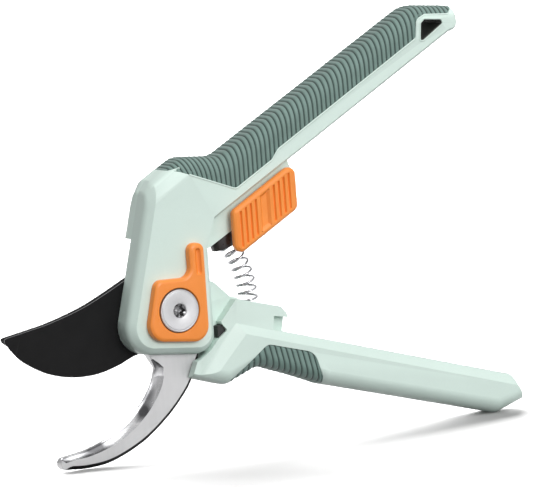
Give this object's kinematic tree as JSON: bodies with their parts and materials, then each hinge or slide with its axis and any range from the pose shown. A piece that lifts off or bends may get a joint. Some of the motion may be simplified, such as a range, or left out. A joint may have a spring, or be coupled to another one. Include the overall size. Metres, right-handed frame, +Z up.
{
  "type": "bypass pruner",
  "caption": "One-hand garden bypass pruner with a hooked counter blade, a cutting blade, two gripped handles, a return spring, a lock slider and a thumb lever.",
  "frame": {"origin": "on the surface that the tool stands on, under the middle of its length and thickness", "axes": "+X from the blades towards the handle ends, +Y towards the back of the tool along the pivot axis, +Z up"},
  "size_m": [0.1992, 0.0224, 0.1458],
  "materials": {
    "hook_steel": "fine ground steel",
    "pin_steel": "plain steel",
    "bolt_steel": "bright plated steel",
    "spring_steel": "bright spring wire",
    "bearing_metal": "sintered bushing",
    "blade_coating": "black low-friction coating on steel",
    "pale_shell": "fine satin moulding",
    "soft_grip": "ribbed soft grip",
    "accent_plastic": "smooth moulding",
    "black_plastic": "plain",
    "black_rubber": "plain"
  },
  "bodies": {
    "upper_handle": {"hook_blade": "hook_steel", "hook_pins": "pin_steel", "spring_cup": "black_plastic", "return_spring": "spring_steel", "upper_grip": "soft_grip", "upper_front_shell": "pale_shell", "upper_rear_shell": "pale_shell", "upper_screws": "pin_steel", "pivot_bolt": "bolt_steel", "pivot_bushing": "bearing_metal", "pivot_washer": "pin_steel", "pivot_nut": "bolt_steel", "lever_washer": "pin_steel"},
    "lower_handle": {"cutting_blade": "blade_coating", "blade_pins": "pin_steel", "spring_seat": "black_plastic", "lower_grip": "soft_grip", "lower_front_shell": "pale_shell", "lower_rear_shell": "pale_shell", "lower_screws": "pin_steel", "stop_bumper": "black_rubber"},
    "thumb_lever": {"pivot_lever": "accent_plastic"},
    "lock": {"lock_slider": "accent_plastic", "lock_catch": "black_plastic"}
  },
  "joints": [
    {"name": "squeeze", "type": "hinge", "parent": "upper_handle", "child": "lower_handle", "pos_m": [-0.03704, 0.0012, 0.05162], "axis": [0, -1, 0], "range_deg": [0, 45], "stiffness_Nm_per_rad": 0.5, "springref_deg": -34.38, "deforming": ["return_spring"]},
    {"name": "lock_slide", "type": "slide", "parent": "upper_handle", "child": "lock", "axis": [-0.8721, 0, -0.4894], "range_m": [0, 0.005]},
    {"name": "lever_turn", "type": "hinge", "parent": "upper_handle", "child": "thumb_lever", "pos_m": [-0.03704, 0.0012, 0.05162], "axis": [0, -1, 0], "range_deg": [0, 40]}
  ]
}
